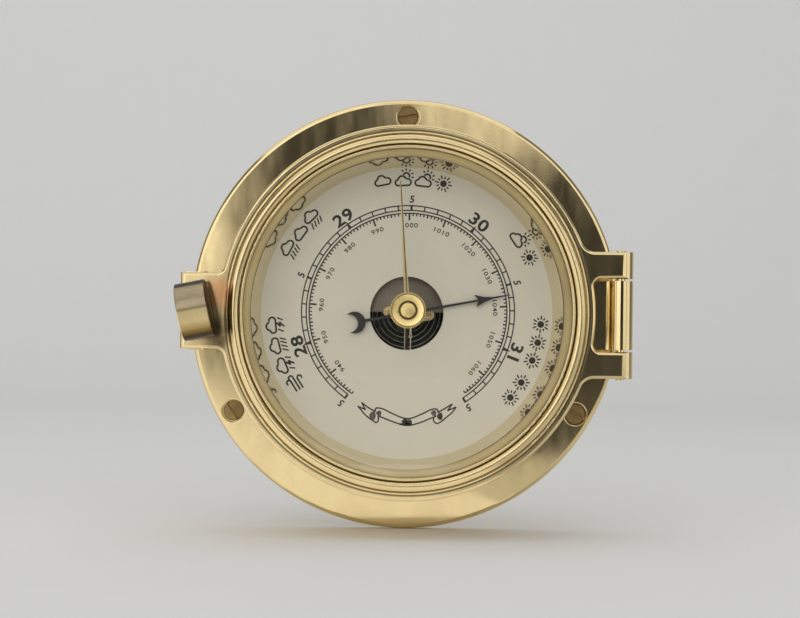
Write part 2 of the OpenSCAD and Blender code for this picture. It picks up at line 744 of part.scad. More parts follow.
// Clasp lug: a soft-edged tongue of the lid's plate, bored for the thumb screw and its keeper
module lid_lug() difference() {
    root = rim_r - rim_round - 1.6;
    tip = clasp_x - lug_end;
    intersection() {
        across(lug_w + 2) soft_top(tip, -root + lug_round, drum_front, lid_front, lug_round);
        face_up() along(tip - 1, -root)
            soft_top(-lug_w / 2, lug_w / 2, drum_front - 1, lid_front, rim_round);
    }
    face_up() translate([clasp_x, 0, drum_front - 1]) cylinder(h = lid_t + 2, r = lug_hole_r);
    translate([keeper_x, -keeper_h, 0]) cylinder(h = 2 * lug_w, r = keeper_d / 2, center = true);
}

module lid_ring() color(brass) difference() {
    arm_in = barrel_len / 2 + arm_gap;
    union() {
        spin() lid_section();
        lid_lug();
        for (s = [-1, 1]) {
            hinge_arm(s * (arm_in + arm_w / 2));
            face_up() rim_web(s * (arm_in + arm_w), rim_fillet, s);
            face_up() rim_web(s * arm_in, arm_fillet, -s);
            face_up() mirror([1, 0, 0]) rim_web(s * lug_w / 2, lug_fillet, s);
        }
    }
    translate([hinge_x, -hinge_h, 0])
        cylinder(h = 3 * barrel_len, r = hinge_pin_d / 2 + run_gap, center = true);
}

module glass() color("#e8f0ee", 0.3) face_up() difference() {
    at_height(glass_back) cylinder(h = glass_t, r = glass_r);
    translate([0, hole_rise, glass_back - 1]) cylinder(h = glass_t + 2, r = 2.2 + slip_gap);
}

module glass_retainer() color("#d8bd78") spin() polygon([
    [sight_r - retainer_flare, drum_front + 0.1], [glass_bore_r, drum_front + 0.1],
    [glass_bore_r, glass_back], [sight_r, glass_back]
]);

module set_hand_bush() color(brass) on_hole() spin() polygon([
    [set_arbor_r + run_gap, glass_back - 1.6], [2.2, glass_back - 1.6], [2.2, glass_front],
    [3.8, glass_front], [3.8, glass_front + 0.6], [set_arbor_r + run_gap, glass_front + 0.6]
]);

module bush_nut() color(brass) on_hole() spin() polygon([
    [2.2, glass_back - 1.2], [3.6, glass_back - 1.2], [3.6, glass_back], [2.2, glass_back]
]);

module set_hand_arbor() color(brass) on_hole() face_up() at_height(drum_front + 0.5)
    cylinder(h = set_arbor_top - drum_front - 0.5, r = set_arbor_r);

// Knob with a knurled edge, a shallow dished face and a domed button in a groove
module set_hand_knob() color("#e8c46a") on_hole() face_up() difference() {
    rim = glass_front + knob_rise;
    foot = glass_front + 0.8;
    r = knob_d / 2;
    button_r = knob_d * 0.21;
    dish_foot = button_r + 0.5;
    dish_w = r - 0.8 - dish_foot;
    union() {
        rotate_extrude() polygon(concat(
            [[0, foot], [button_r, foot], [button_r, rim - 1.2], [r - 0.5, rim - 0.8],
             [r - 0.5, rim + 0.4], [r - 0.62, rim + 0.4], [r - 0.7, rim + 0.15]],
            [for (i = [6:-1:0]) let (t = i / 6) [dish_foot + dish_w * t, rim + 0.05 + 0.35 * t * t]],
            [[dish_foot, rim - 0.7], [button_r, rim - 0.7]],
            arc([button_r - 0.25, rim + 0.1], 0.25, 0, 75, 4),
            [for (t = [0.75, 0.5, 0.25, 0]) [(button_r - 0.25) * t, rim + 0.5 - 0.16 * t * t]]
        ));
        at_height(rim - 0.6) linear_extrude(1) difference() {
            polygon([
                for (i = [0:2 * knob_teeth - 1]) let (a = 180 * i / knob_teeth)
                    (i % 2 == 0 ? r : r - 0.25) * [cos(a), sin(a)]
            ]);
            circle(r - 0.6);
        }
    }
    cylinder(h = set_arbor_top, r = set_arbor_r);
}

module set_hand() color("#d8b45e") on_hole() face_up() rotate(set_hand_angle) {
    h = drum_front + 1.4;
    difference() {
        union() {
            at_height(h - 0.15) linear_extrude(0.3)
                polygon([[0, 0.95], [set_hand_len, 0.18], [set_hand_len, -0.18], [0, -0.95]]);
            at_height(h - 0.5) cylinder(h = 1.2, r = 2.4);
        }
        at_height(h - 2) cylinder(h = 4, r = set_arbor_r);
    }
}

module keeper_pin() color(brass) translate([keeper_x, -keeper_h, 0])
    cylinder(h = lug_w + 2 * pin_proud, r = keeper_d / 2, center = true);

module thumb_washer() color(brass) face_up() translate([clasp_x, 0, lid_front]) difference() {
    cylinder(h = washer_t, r = washer_r);
    at_height(-1) cylinder(h = washer_t + 2, r = lug_hole_r);
}

// Disc that stands on edge on its screw, cut flat above the washer
module thumb_screw() color("#bfa56a") face_up() translate([clasp_x, 0, 0]) {
    edge = 0.3;
    r = thumb_d / 2;
    rotate(thumb_angle) intersection() {
        at_height(disc_h) rotate([0, 90, 0]) rotate_extrude() polygon([
            [0, -thumb_t / 2], [r - edge, -thumb_t / 2], [r, -thumb_t / 2 + edge],
            [r, thumb_t / 2 - edge], [r - edge, thumb_t / 2], [0, thumb_t / 2]
        ]);
        at_height(disc_h - thumb_flat) translate([-r, -r - 1, 0])
            cube([thumb_d, thumb_d + 2, thumb_d]);
    }
    rotate_extrude() polygon([
        [0, thread_foot], [thread_r - 0.6, thread_foot], [thread_r, thread_foot + 0.6],
        [thread_r, groove_foot], [groove_d / 2, groove_foot], [groove_d / 2, groove_top],
        [shank_d / 2, groove_top], [shank_d / 2, seat_h], [3.9, seat_h],
        [3.9, disc_h - thumb_flat + 0.5], [0, disc_h - thumb_flat + 0.5]
    ]);
}

case_body();
back_cover();
cover_screws();
mounting_screws();
hinge_pin();
reflector_ring();
dial();
dial_posts();
movement_plate();
plate_screws();
capsule();
capsule_post();
capsule_nut();
post_pin();
spring_bridge();
main_spring();
spring_screws();
adjusting_screw();
main_lever();
link_rod();
rocker_posts();
rocker_shaft();
chain();
top_plate();
top_plate_pillars();
top_plate_screws();
hand_arbor();
arbor_bridge();
bridge_posts();
bridge_screws();
hairspring();
indicating_hand();
lid_ring();
glass();
glass_retainer();
set_hand_bush();
bush_nut();
set_hand_arbor();
set_hand_knob();
set_hand();
keeper_pin();
thumb_washer();
thumb_screw();
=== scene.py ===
import math

import bmesh
import bpy
from mathutils import Euler, Matrix, Vector


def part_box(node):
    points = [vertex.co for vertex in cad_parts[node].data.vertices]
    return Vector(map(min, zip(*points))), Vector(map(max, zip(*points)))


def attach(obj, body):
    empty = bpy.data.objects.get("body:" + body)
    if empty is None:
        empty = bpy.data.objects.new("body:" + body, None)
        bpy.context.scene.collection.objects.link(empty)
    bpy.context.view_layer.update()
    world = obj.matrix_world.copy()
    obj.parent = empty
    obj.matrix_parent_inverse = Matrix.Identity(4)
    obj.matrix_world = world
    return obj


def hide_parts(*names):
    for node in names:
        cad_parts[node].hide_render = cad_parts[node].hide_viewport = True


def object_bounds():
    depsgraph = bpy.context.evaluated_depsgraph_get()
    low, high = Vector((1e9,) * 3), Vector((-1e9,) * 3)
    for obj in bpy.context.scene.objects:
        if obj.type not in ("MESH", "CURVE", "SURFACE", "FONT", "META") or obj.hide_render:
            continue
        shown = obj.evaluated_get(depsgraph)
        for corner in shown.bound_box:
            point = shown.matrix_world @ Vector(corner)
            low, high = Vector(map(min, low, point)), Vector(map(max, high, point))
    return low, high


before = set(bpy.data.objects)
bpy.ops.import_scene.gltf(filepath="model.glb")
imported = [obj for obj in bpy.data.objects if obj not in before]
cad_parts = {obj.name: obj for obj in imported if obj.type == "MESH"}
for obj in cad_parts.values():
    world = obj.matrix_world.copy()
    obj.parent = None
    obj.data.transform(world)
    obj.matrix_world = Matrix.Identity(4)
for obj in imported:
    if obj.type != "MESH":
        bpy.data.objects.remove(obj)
cad_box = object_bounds()
scene = bpy.context.scene
scene.view_settings.view_transform = "Standard"

# Pieces are drawn face up in millimetres, x to the right, y up and z towards the viewer,
# and then stood up against the bulkhead.
MM = 0.001
STAND_UP = Matrix.Rotation(math.radians(90), 4, "X") @ Matrix.Scale(MM, 4)


# Camera

CAMERA_AT = Vector((-0.0110, -0.6000, -0.0050))
CAMERA_AIM = Vector((-0.0020, 0.0, 0.00165))
CAMERA_ROLL = math.radians(0.7)
CAMERA_NEAR = 0.01
LENS_MM = 76.7


def make_camera():
    camera = bpy.data.objects.new("camera", bpy.data.cameras.new("camera"))
    scene.collection.objects.link(camera)
    camera.data.lens = LENS_MM
    camera.data.clip_start = CAMERA_NEAR
    aim = (CAMERA_AIM - CAMERA_AT).to_track_quat("-Z", "Y").to_matrix().to_4x4()
    camera.matrix_world = Matrix.Translation(CAMERA_AT) @ aim @ Matrix.Rotation(CAMERA_ROLL, 4, "Z")
    scene.camera = camera


# Patterns


def blank(name, **sockets):
    """A new material and its Principled shader, with plain values set on the shader's own sockets."""
    material = bpy.data.materials.new(name)
    material.use_nodes = True
    shader = material.node_tree.nodes["Principled BSDF"]
    for socket, value in sockets.items():
        shader.inputs[socket.replace("_", " ")].default_value = value
    return material, shader


def node(tree, kind, inputs=None, **settings):
    """Adds a shader node. An input's value is a number, a colour or another node's socket."""
    made = tree.nodes.new("ShaderNode" + kind)
    for key, value in settings.items():
        setattr(made, key, value)
    for socket, value in (inputs or {}).items():
        if isinstance(value, bpy.types.NodeSocket):
            tree.links.new(value, made.inputs[socket])
        else:
            made.inputs[socket].default_value = value
    return made


def calc(tree, operation, *values):
    """One step of arithmetic on patterns and numbers."""
    return node(tree, "Math", dict(enumerate(values)), operation=operation).outputs[0]


def product(tree, first, second):
    """Multiplies two patterns, or a pattern and a number."""
    return calc(tree, "MULTIPLY", first, second)


def place(tree, at=(0, 0, 0), turn=(0, 0, 0), stretch=(1, 1, 1)):
    """Object coordinates, measured from a point and along turned and stretched axes."""
    where = node(tree, "TexCoord").outputs["Object"]
    moved = {"Vector": where, "Location": at, "Rotation": turn, "Scale": stretch}
    return node(tree, "Mapping", moved, vector_type="TEXTURE").outputs["Vector"]


def along(tree, where, axis):
    """Distance along one axis of a place."""
    return node(tree, "SeparateXYZ", {0: where}).outputs[axis]


def from_axis(tree, where):
    """Distance from the axis that runs front to back through a place's middle."""
    flat = node(tree, "VectorMath", {0: where, 1: (1, 0, 1)}, operation="MULTIPLY").outputs["Vector"]
    return node(tree, "VectorMath", {0: flat}, operation="LENGTH").outputs["Value"]


def across_from(tree, x, z):
    """Distance from an axis that runs front to back through a point given in millimetres."""
    return from_axis(tree, place(tree, (x * MM, 0, z * MM)))


def noise(tree, where, size, detail=4.0, rough=0.55):
    """Soft blotches of about the given size in millimetres, from 0 to 1."""
    inputs = {"Vector": where, "Scale": 1 / (size * MM), "Detail": detail, "Roughness": rough}
    return node(tree, "TexNoise", inputs).outputs["Fac"]


def rings(tree, where, pitch):
    """Uneven turning marks round the axis, about pitch millimetres apart, from 0 to 1."""
    inputs = {"W": from_axis(tree, where), "Scale": 1 / (pitch * MM), "Detail": 2.0}
    return node(tree, "TexNoise", inputs, noise_dimensions="1D").outputs["Fac"]


def spread(tree, value, low, high, start=0.3, end=0.7):
    """Carries the part of a pattern between start and end onto the range from low to high."""
    inputs = {"Value": value, "From Min": start, "From Max": end, "To Min": low, "To Max": high}
    return node(tree, "MapRange", inputs).outputs["Result"]


def near(tree, value, centre, half, fade, most=1.0):
    """Reaches most within half of a centre and falls to 0 over fade, all in millimetres."""
    away = calc(tree, "ABSOLUTE", calc(tree, "SUBTRACT", value, centre * MM))
    return spread(tree, away, most, 0, half * MM, (half + fade) * MM)


def blend(tree, share, first, second):
    """Mixes two colours, each given as numbers or as a socket."""
    made = node(tree, "Mix", {0: share}, data_type="RGBA")
    for socket, value in ((6, first), (7, second)):
        if isinstance(value, bpy.types.NodeSocket):
            tree.links.new(value, made.inputs[socket])
        else:
            made.inputs[socket].default_value = (*value, 1)
    return made.outputs[2]


def bump(tree, value, depth, under=None):
    """Raises a pattern by depth micrometres, over another bump if one is given."""
    inputs = {"Height": value, "Distance": depth * MM * MM, "Strength": 1.0}
    if under is not None:
        inputs["Normal"] = under
    return node(tree, "Bump", inputs).outputs["Normal"]


def stain(material, share, colour):
    """Blends a colour over a material's own, by the given share."""
    tree = material.node_tree
    base = tree.nodes["Principled BSDF"].inputs["Base Color"]
    tree.links.new(blend(tree, share, base.links[0].from_socket, colour), base)


# Kinds of material. gloss is the least and greatest roughness.


def metal(name, bright, dull, gloss, marks=None, patina=0.25, grain=6, at=(0, 0, 0), metallic=1.0):
    """Metal with patina blotches, uneven polish and fine pits of the given grain.

    marks is the pitch and depth of its turning marks, and at the place of their axis.
    """
    material, shader = blank(name, Metallic=metallic)
    tree = material.node_tree
    where = place(tree, at)
    blotch = noise(tree, where, 14, detail=6)
    speck = noise(tree, where, 1.1, detail=3)
    colour = blend(tree, spread(tree, blotch, 0, patina, 0.42, 0.72), bright, dull)
    colour = blend(tree, spread(tree, speck, 0, patina * 0.5, 0.5, 0.8), colour, dull)
    tree.links.new(colour, shader.inputs["Base Color"])
    smear = noise(tree, place(tree, at, stretch=(1, 1, 4)), 5, detail=5)
    tree.links.new(spread(tree, smear, *gloss), shader.inputs["Roughness"])
    normal = bump(tree, noise(tree, where, 0.5, detail=3), grain)
    if marks:
        pitch, depth = marks
        normal = bump(tree, rings(tree, where, pitch), depth, normal)
    tree.links.new(normal, shader.inputs["Normal"])
    return material


def brushed(name, bright, dull, gloss, across, depth, patina=0.3):
    """Metal with straight brush marks: across stretches the marks along each axis."""
    material, shader = blank(name, Metallic=1.0)
    tree = material.node_tree
    marks = noise(tree, place(tree, stretch=across), 0.35, detail=4, rough=0.7)
    blotch = noise(tree, place(tree), 6, detail=5)
    colour = blend(tree, spread(tree, blotch, 0, patina, 0.4, 0.75), bright, dull)
    colour = blend(tree, spread(tree, marks, 0, 0.35, 0.45, 0.8), colour, dull)
    tree.links.new(colour, shader.inputs["Base Color"])
    tree.links.new(spread(tree, marks, *gloss), shader.inputs["Roughness"])
    tree.links.new(bump(tree, marks, depth), shader.inputs["Normal"])
    return material


def enamel(name, light, shade, gloss):
    """Printed enamel dial: faint clouding, fine grain and an eggshell gloss."""
    material, shader = blank(name, Specular_IOR_Level=0.35)
    tree = material.node_tree
    where = place(tree)
    cloud = noise(tree, where, 22, detail=5)
    grain = noise(tree, where, 0.35, detail=3)
    colour = blend(tree, spread(tree, cloud, 0, 0.5), light, shade)
    colour = blend(tree, spread(tree, grain, 0, 0.18), colour, shade)
    tree.links.new(colour, shader.inputs["Base Color"])
    tree.links.new(spread(tree, grain, *gloss), shader.inputs["Roughness"])
    tree.links.new(bump(tree, grain, 3), shader.inputs["Normal"])
    return material


def lacquer(name, dark, worn, gloss, wear=0.25):
    """Black lacquer, a little brown and worn where it has been handled."""
    material, shader = blank(name, Specular_IOR_Level=0.5)
    tree = material.node_tree
    where = place(tree)
    wear_and_sheen = noise(tree, where, 3, detail=6, rough=0.65)
    grain = noise(tree, where, 0.25, detail=2)
    colour = blend(tree, spread(tree, wear_and_sheen, 0, wear, 0.45, 0.75), dark, worn)
    tree.links.new(colour, shader.inputs["Base Color"])
    tree.links.new(spread(tree, grain, *gloss), shader.inputs["Roughness"])
    tree.links.new(bump(tree, grain, 4), shader.inputs["Normal"])
    return material


def window_glass(name):
    """Clear glass that lets lamps through to the dial, with faint smears in its polish."""
    material, shader = blank(name, Transmission_Weight=1.0, IOR=1.5, Base_Color=(0.985, 0.985, 0.975, 1))
    tree = material.node_tree
    smear = noise(tree, place(tree), 16, detail=6)
    tree.links.new(spread(tree, smear, 0.0, 0.03), shader.inputs["Roughness"])
    clear = node(tree, "BsdfTransparent")
    shadow = node(tree, "LightPath").outputs["Is Shadow Ray"]
    mixed = node(tree, "MixShader", {0: shadow, 1: shader.outputs[0], 2: clear.outputs[0]})
    tree.links.new(mixed.outputs[0], tree.nodes["Material Output"].inputs["Surface"])
    return material


# Finishes of the barometer's pieces

BRASS, BRASS_DULL = (0.81, 0.645, 0.345), (0.56, 0.42, 0.19)
GILT, GILT_DULL = (0.84, 0.64, 0.30), (0.60, 0.42, 0.15)
POINTER, KNOB = (0.80, 0.66, 0.36), (0.97, 0.76, 0.34)
OLD_BRASS, OLD_BRASS_DULL = (0.32, 0.22, 0.09), (0.09, 0.06, 0.025)
STEEL, STEEL_DULL = (0.52, 0.50, 0.47), (0.25, 0.22, 0.19)
DARK_STEEL, DARK_STEEL_DULL = (0.085, 0.065, 0.045), (0.04, 0.03, 0.022)

# Grooves: radius, half width, fade and how strongly they are darkened, with old polish and painted shade in
# the lid's grooves and painted shade in the knob's.
LID_GROOVE_DARKENING = ((55.6, 0.14, 0.22, 0.88), (59.05, 0.12, 0.25, 0.8), (60.55, 0.16, 0.3, 0.75))
KNOB_GROOVE_SHADE = ((2.78, 0.24, 0.30, 0.93), (5.34, 0.05, 0.16, 0.85))
# The mouldings end at the first radius, and the lid's own polish starts at the second.
MOULDINGS_R, POLISH_R = 60.8, 61.6
# Painted reflections on the clasp's lug, a coppery one and a dark one: height, strength and colour.
LUG_X, PATCH_R = -63.0, 3.4
LUG_PAINTED_REFLECTIONS = ((5.5, 0.92, (0.86, 0.43, 0.19)), (-7.5, 0.9, (0.14, 0.092, 0.04)))

KNOB_AXIS = (0, 0, 0.8 * MM)
KNOB_TEETH, KNOB_EDGE_R = 60, 5.85
SET_HAND_TURN = math.radians(-93.8)
THUMB_TURN = math.radians(-11.5)
# Painted light and shade on the thumb screw: axis, strength, where they start, where they are full, and
# colour.
THUMB_PAINTED_LIGHT = (
    ("Z", 0.85, -3.6, -6.4, (0.30, 0.185, 0.045)),
    ("Z", 0.95, -6.0, -8.2, (0.035, 0.022, 0.008)),
    ("Z", 0.94, 7.7, 8.4, (0.03, 0.024, 0.012)),
    ("X", 0.7, -4.72, -4.85, (0.90, 0.78, 0.48)),
    ("X", 0.93, 4.75, 4.95, (0.055, 0.042, 0.018)),
)
CREST_START, CREST_PITCH = 5, 20 / 12
RETAINER_R = 53.3


def lid_brass():
    """Polished brass, softer on the mouldings, with its grooves darkened, partly by old polish and partly by
    painted shade.

    The front of the clasp's lug has a painted coppery reflection and a painted dark reflection.
    """
    gloss, turned = (0.08, 0.16), (0.8, 0.4)
    material = metal("brass of the lid", BRASS, BRASS_DULL, gloss, marks=turned, patina=0.26, grain=1.0)
    tree = material.node_tree
    # The thumb screw's washer lies on the lug's face, and the painted groove shade and the painted lug
    # reflections go no deeper than that face.
    face_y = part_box("thumb_washer")[1].y
    front = spread(tree, along(tree, place(tree), "Y"), 1, 0, face_y + 0.2 * MM, face_y + 0.4 * MM)
    radius = across_from(tree, 0, 0)
    # Grooves darkened in colour, partly old polish and partly painted shade.
    for groove, half, fade, most in LID_GROOVE_DARKENING:
        groove_darkening = near(tree, radius, groove, half, fade, most)
        stain(material, product(tree, groove_darkening, front), (0.07, 0.052, 0.022))
    patch_mottle = spread(tree, noise(tree, place(tree), 3, detail=4), 0.5, 1)
    # Painted reflections on the lug: a coppery one above the screw and a dark one below it.
    for up, most, colour in LUG_PAINTED_REFLECTIONS:
        patch = near(tree, across_from(tree, LUG_X, up), 0, PATCH_R, PATCH_R, most)
        stain(material, product(tree, product(tree, patch, patch_mottle), front), colour)
    roughness = tree.nodes["Principled BSDF"].inputs["Roughness"]
    softer = spread(tree, radius, 0.10, 0, MOULDINGS_R * MM, POLISH_R * MM)
    tree.links.new(calc(tree, "ADD", roughness.links[0].from_socket, softer), roughness)
    return material


def knob_brass():
    """Gilt satin brass with painted shade in the grooves and between the teeth of the knob's edge."""
    gloss, turned = (0.30, 0.42), (0.1, 3)
    material = metal("brass of the knob", KNOB, GILT_DULL, gloss, marks=turned, grain=5, at=KNOB_AXIS)
    tree = material.node_tree
    where = place(tree, KNOB_AXIS)
    worn = noise(tree, where, 1.8, detail=5)
    stain(material, spread(tree, worn, 0, 0.6, 0.52, 0.78), (0.42, 0.27, 0.07))
    radius = from_axis(tree, where)
    # Painted shade in the knob's grooves.
    for groove, half, fade, most in KNOB_GROOVE_SHADE:
        stain(material, near(tree, radius, groove, half, fade, most), (0.14, 0.088, 0.022))
    # Painted shade in the gaps between the teeth of the knob's edge.
    turn = calc(tree, "ARCTAN2", along(tree, where, "Z"), along(tree, where, "X"))
    tooth = calc(tree, "COSINE", product(tree, turn, KNOB_TEETH))
    tooth_gap_shade = product(tree, spread(tree, tooth, 0.85, 0, -0.9, 0.4), near(tree, radius, KNOB_EDGE_R, 0.25, 0.15))
    stain(material, tooth_gap_shade, (0.12, 0.075, 0.02))
    return material


def pointer_brass():
    """Brass of the set hand, with a painted line of shade along its middle."""
    material = metal("brass of the set hand", POINTER, GILT_DULL, (0.24, 0.36), patina=0.3, grain=3)
    tree = material.node_tree
    side = along(tree, place(tree, KNOB_AXIS, (0, SET_HAND_TURN, 0)), "Z")
    # Painted shade: a dark line along the hand's middle.
    stain(material, near(tree, side, -0.12, 0.12, 0.12, 0.85), (0.10, 0.075, 0.03))
    return material


def thumb_brass():
    """Brass of the thumb screw in painted light and shade: a grey painted reflection over real scratches
    above, a painted dark horizon line across the middle, warm then dark painted shade below, a dark painted
    band round its top, a painted highlight along one face's edge and painted shade on the far face.
    """
    bright, dull = (0.60, 0.48, 0.25), (0.36, 0.26, 0.11)
    material = brushed("brass of the thumb screw", bright, dull, (0.28, 0.44), (1, 1, 9), 7)
    tree = material.node_tree
    low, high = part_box("thumb_screw")
    where = place(tree, ((low.x + high.x) / 2, 0, 0), (0, THUMB_TURN, 0))
    up = along(tree, where, "Z")
    scratch = noise(tree, place(tree, stretch=(8, 8, 1)), 0.5, detail=5, rough=0.7)
    # Painted reflection: grey over the upper half, broken up by the scratches.
    painted_grey = product(tree, near(tree, up, 4.9, 4.2, 0.5), spread(tree, scratch, 0.55, 1))
    stain(material, painted_grey, (0.31, 0.26, 0.18))
    # Painted reflection: a dark horizon line across the middle.
    stain(material, near(tree, up, 0.45, 0.1, 0.6, 0.65), (0.15, 0.11, 0.05))
    # Painted shade: warm then dark below and dark at the top. Also a painted highlight on one face's edge
    # and painted shade on the far face.
    for axis, most, start, full, colour in THUMB_PAINTED_LIGHT:
        shade = spread(tree, along(tree, where, axis), 0, most, start * MM, full * MM)
        stain(material, shade, colour)
    return material


def capsule_lacquer():
    """Black lacquer with painted highlights along the crests of the capsule's corrugations."""
    dark, worn = (0.026, 0.028, 0.023), (0.06, 0.052, 0.04)
    material = lacquer("lacquer of the capsule", dark, worn, (0.22, 0.36))
    tree = material.node_tree
    out = calc(tree, "SUBTRACT", across_from(tree, 0, 0), CREST_START * MM)
    wave = calc(tree, "COSINE", product(tree, out, math.tau / (CREST_PITCH * MM)))
    wear_and_sheen = spread(tree, noise(tree, place(tree), 4, detail=4), 0.35, 1)
    # Painted highlights along the crests of the corrugations.
    stain(material, product(tree, spread(tree, wave, 0, 1.0, 0.55, 1.0), wear_and_sheen), (0.62, 0.58, 0.45))
    return material


def lever_steel():
    """Darkened steel of the main lever, with a painted highlight along its left edge."""
    material = metal("steel of the lever", DARK_STEEL, DARK_STEEL_DULL, (0.34, 0.50), patina=0.6, grain=8)
    tree = material.node_tree
    edge = spread(tree, along(tree, place(tree), "X"), 0, 0.9, -0.28 * MM, -0.45 * MM)
    # Painted highlight along the lever's left edge.
    stain(material, edge, (0.62, 0.56, 0.42))
    return material


def retainer_brass():
    """Finely turned brass behind the glass, with a painted reflection of the bright dial along the middle of
    its cone.
    """
    bright, turned = (0.74, 0.61, 0.35), (0.12, 2)
    material = metal("brass of the retainer", bright, BRASS_DULL, (0.28, 0.38), marks=turned, grain=2)
    # Painted reflection of the bright dial along the middle of the cone.
    middle = near(material.node_tree, across_from(material.node_tree, 0, 0), RETAINER_R, 0.25, 0.9, 0.85)
    stain(material, middle, (0.95, 0.80, 0.48))
    return material


FINISHES = {
    "polished_brass": metal(
        "brass polished", BRASS, BRASS_DULL, (0.07, 0.15), marks=(0.6, 0.7), patina=0.26, grain=1.2
    ),
    "mirror_brass": metal(
        "brass mirror", (0.86, 0.77, 0.57), (0.66, 0.55, 0.36), (0.06, 0.12),
        marks=(0.25, 0.4), patina=0.12, grain=0.6,
    ),
    "gilt_brass": metal("brass gilt", GILT, GILT_DULL, (0.24, 0.34), marks=(0.12, 2.5), grain=3),
    "aged_brass": metal("brass aged", OLD_BRASS, OLD_BRASS_DULL, (0.30, 0.50), patina=0.7, grain=14),
    "movement_brass": metal(
        "brass of the movement", (0.78, 0.62, 0.33), (0.42, 0.28, 0.11), (0.22, 0.36),
        marks=(0.2, 2), patina=0.35, grain=4,
    ),
    "dial_enamel": enamel("dial enamel", (0.68, 0.64, 0.53), (0.61, 0.57, 0.46), (0.42, 0.55)),
    "clear_glass": window_glass("glass clear"),
    "bright_steel": metal("steel bright", STEEL, STEEL_DULL, (0.18, 0.32), patina=0.35, grain=4),
    "bronzed_steel": metal(
        "steel bronzed", (0.26, 0.225, 0.18), (0.13, 0.11, 0.09), (0.34, 0.48), patina=0.6, grain=8
    ),
    "black_lacquer": lacquer(
        "lacquer black", (0.030, 0.028, 0.026), (0.075, 0.062, 0.050), (0.26, 0.40)
    ),
}
OWN_FINISH = {
    "lid_ring": lid_brass(),
    "glass_retainer": retainer_brass(),
    "set_hand_knob": knob_brass(),
    "set_hand": pointer_brass(),
    "thumb_screw": thumb_brass(),
    "capsule": capsule_lacquer(),
    "main_lever": lever_steel(),
    "arbor_bridge": metal("brass of the bridge", POINTER, GILT_DULL, (0.24, 0.36), patina=0.3, grain=3),
}
# A paler, less metallic copy of the movement's brass, so that the wire shows bright in the dark movement:
# painted light.
WIRE_BRASS = metal(
    "brass of the wire", (0.92, 0.84, 0.62), (0.72, 0.62, 0.40), (0.30, 0.42),
    patina=0.2, grain=1, metallic=0.35,
)
INK = lacquer("ink of the dial", (0.020, 0.017, 0.008), (0.04, 0.035, 0.020), (0.5, 0.65), wear=0.6)


def dress_cad_nodes():
    """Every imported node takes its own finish, or the full finish of the slot that it was packed with."""
    for name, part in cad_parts.items():
        for slot in part.material_slots:
            packed = slot.material.name.split(".")[0]
            slot.material = OWN_FINISH[name] if name in OWN_FINISH else FINISHES[packed]


# Helpers that build pieces

CREASE = math.radians(35)
INK_T = 0.02


def finished(name, bm, body, material, placed=STAND_UP):
    """Turns a bmesh into a piece that rides on a body, with soft edges shaded round."""
    bm.transform(placed)
    mesh = bpy.data.meshes.new(name)
    bm.to_mesh(mesh)
    bm.free()
    mesh.materials.append(material)
    mesh.shade_smooth()
    mesh.set_sharp_from_angle(angle=CREASE)
    piece = bpy.data.objects.new(name, mesh)
    scene.collection.objects.link(piece)
    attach(piece, body)
    return piece


def put(bm, matrix, draw, *values):
    """Draws something round the origin and then carries it to its place."""
    start = len(bm.verts)
    draw(bm, *values)
    bm.verts.ensure_lookup_table()
    bmesh.ops.transform(bm, matrix=matrix, space=Matrix(), verts=bm.verts[start:])


def solid_print(bm):
    """Gives flat shapes the thickness of printed ink and closes them."""
    bmesh.ops.remove_doubles(bm, verts=bm.verts, dist=0.001)
    bmesh.ops.recalc_face_normals(bm, faces=bm.faces)
    bmesh.ops.solidify(bm, geom=bm.faces[:], thickness=-INK_T)
    bmesh.ops.recalc_face_normals(bm, faces=bm.faces)


def add_arc(bm, inner, outer, start, end):
    """Flat band between two radii, from one angle to another."""
    first = [bm.verts.new((r * math.cos(start), r * math.sin(start), 0)) for r in (inner, outer)]
    edge = bm.edges.new(first)
    steps = max(12, round(abs(end - start) / math.radians(1.5)))
    whole = abs(end - start) > math.tau - 0.01
    turning = {"axis": (0, 0, 1), "angle": end - start, "steps": steps, "use_merge": whole}
    bmesh.ops.spin(bm, geom=[*first, edge], use_duplicate=False, **turning)


def add_bow(bm, centre, radius, start, end, width):
    """Flat stroke along part of a circle, with its ends given in degrees."""
    inner, outer = radius - width / 2, radius + width / 2
    put(bm, Matrix.Translation((*centre, 0)), add_arc, inner, outer, math.radians(start), math.radians(end))


def add_tick(bm, angle, inner, outer, width):
    """Flat radial stroke."""
    middle = (inner + outer) / 2
    shape = Matrix.Diagonal((outer - inner, width, 1, 1))
    at = Matrix.Rotation(angle, 4, "Z") @ Matrix.Translation((middle, 0, 0)) @ shape
    bmesh.ops.create_grid(bm, x_segments=1, y_segments=1, size=0.5, matrix=at)


def add_wedge(bm, angle, inner, outer, foot, tip):
    """Flat radial mark that narrows outwards."""
    start = len(bm.verts)
    add_tick(bm, 0, inner, outer, foot)
    bm.verts.ensure_lookup_table()
    for vert in bm.verts[start:]:
        if vert.co.x > (inner + outer) / 2:
            vert.co.y *= tip / foot
    bmesh.ops.rotate(bm, verts=bm.verts[start:], matrix=Matrix.Rotation(angle, 3, "Z"))


def add_line(bm, start, end, width):
    """Flat straight stroke between two points, with a little added at its ends."""
    start, end = Vector(start), Vector(end)
    run = end - start
    at = (start + end) / 2
    turn = Matrix.Rotation(math.atan2(run.y, run.x), 4, "Z")
    shape = Matrix.Diagonal((run.length + width * 0.6, width, 1, 1))
    move = Matrix.Translation((at.x, at.y, 0))
    bmesh.ops.create_grid(bm, x_segments=1, y_segments=1, size=0.5, matrix=move @ turn @ shape)


